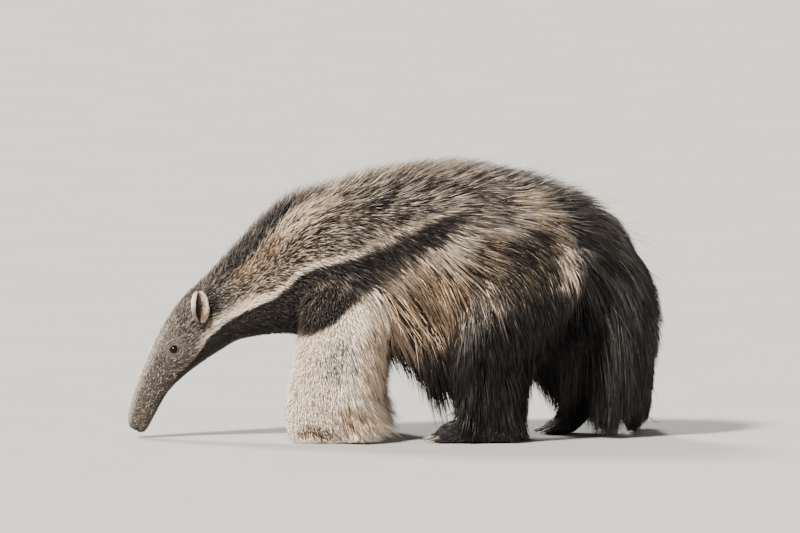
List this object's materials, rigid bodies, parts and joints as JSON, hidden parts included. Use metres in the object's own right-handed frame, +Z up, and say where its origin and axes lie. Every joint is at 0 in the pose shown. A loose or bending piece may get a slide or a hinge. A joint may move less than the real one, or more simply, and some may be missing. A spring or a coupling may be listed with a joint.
{
  "type": "giant anteater",
  "caption": "Life-size giant anteater walking with its snout to the ground: a still museum model with a long-haired coat and a drooping tail.",
  "frame": {"origin": "on the ground under the middle of the model", "axes": "+X towards the tail, +Y towards the animal's right flank, +Z up"},
  "size_m": [1.1348, 0.4798, 0.5792],
  "materials": {
    "face_hide": "short grey-brown fur",
    "neck_coat": "bristly grey-brown coat",
    "body_coat": "long grizzled coat",
    "foreleg_coat": "pale cream coat",
    "hindleg_coat": "black coat",
    "tail_coat": "long black and grey hair",
    "ear_skin": "thinly haired skin",
    "eye_surface": "wet dark eye",
    "claw_horn": "worn horn"
  },
  "bodies": {
    "root": {"ear_left": "ear_skin", "ear_right": "ear_skin", "eye_left": "eye_surface", "eye_right": "eye_surface", "foreclaw_left_1": "claw_horn", "foreclaw_left_2": "claw_horn", "foreclaw_left_3": "claw_horn", "foreclaw_left_4": "claw_horn", "foreclaw_right_1": "claw_horn", "foreclaw_right_2": "claw_horn", "foreclaw_right_3": "claw_horn", "foreclaw_right_4": "claw_horn", "forefoot_left": "foreleg_coat", "forefoot_right": "foreleg_coat", "foreleg_left": "foreleg_coat", "foreleg_right": "foreleg_coat", "head": "face_hide", "hindclaw_left_1": "claw_horn", "hindclaw_left_2": "claw_horn", "hindclaw_left_3": "claw_horn", "hindclaw_left_4": "claw_horn", "hindclaw_left_5": "claw_horn", "hindclaw_right_1": "claw_horn", "hindclaw_right_2": "claw_horn", "hindclaw_right_3": "claw_horn", "hindclaw_right_4": "claw_horn", "hindclaw_right_5": "claw_horn", "hindfoot_left": "hindleg_coat", "hindfoot_right": "hindleg_coat", "hindleg_left": "hindleg_coat", "hindleg_right": "hindleg_coat", "neck": "neck_coat", "tail_base": "tail_coat", "tail_end": "tail_coat", "tail_middle": "tail_coat", "torso": "body_coat"}
  },
  "joints": []
}
